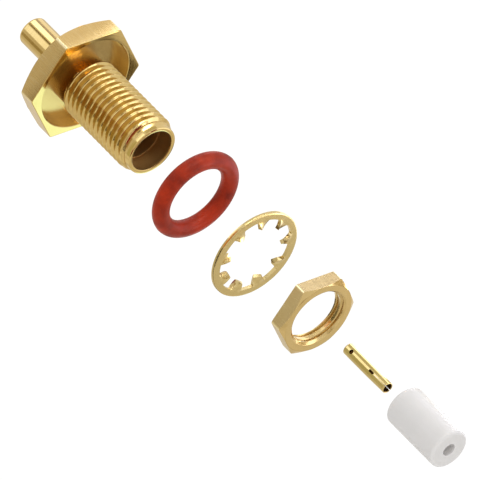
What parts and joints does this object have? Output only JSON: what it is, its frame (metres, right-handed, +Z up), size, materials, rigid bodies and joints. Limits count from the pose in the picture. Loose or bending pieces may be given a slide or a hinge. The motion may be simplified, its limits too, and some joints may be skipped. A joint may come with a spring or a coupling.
{
  "type": "sma bulkhead jack connector",
  "caption": "Coaxial bulkhead jack laid out in line: threaded body with hex flange and solder tube, seal ring, toothed washer, thin nut, slotted contact and insulator.",
  "frame": {"origin": "centre of the mating reference plane, the step inside the mouth where a plug's sleeve stops", "axes": "-Y along the connector's axis, out of the mouth towards the mating plug; +Y towards the cable; +Z up; +X to the right when looking along +Y into the mouth"},
  "size_m": [0.013, 0.0688, 0.0124],
  "materials": {
    "gold_body": "gold plated, turned and milled",
    "silicone": "moulded silicone, satin",
    "gold_washer": "gold plated, stamped sheet",
    "gold_nut": "gold plated, milled bar",
    "gold_contact": "gold plated, bright turned",
    "ptfe": "turned ptfe, matte"
  },
  "bodies": {
    "body": {"connector_body": "gold_body"},
    "o_ring": {"o_ring": "silicone"},
    "lock_washer": {"lock_washer": "gold_washer"},
    "panel_nut": {"panel_nut": "gold_nut"},
    "center_contact": {"center_contact": "gold_contact"},
    "dielectric": {"dielectric": "ptfe"}
  },
  "joints": [
    {"name": "o_ring_slide", "type": "slide", "parent": "body", "child": "o_ring", "axis": [0, 1, 0], "range_m": [0, 0.0189]},
    {"name": "lock_washer_slide", "type": "slide", "parent": "o_ring", "child": "lock_washer", "axis": [0, 1, 0], "range_m": [0, 0.0084]},
    {"name": "panel_nut_slide", "type": "slide", "parent": "lock_washer", "child": "panel_nut", "axis": [0, 1, 0], "range_m": [0, 0.0084]},
    {"name": "center_contact_slide", "type": "slide", "parent": "body", "child": "center_contact", "axis": [0, 1, 0], "range_m": [0, 0.0408]},
    {"name": "dielectric_slide", "type": "slide", "parent": "body", "child": "dielectric", "axis": [0, 1, 0], "range_m": [0, 0.0506]}
  ]
}
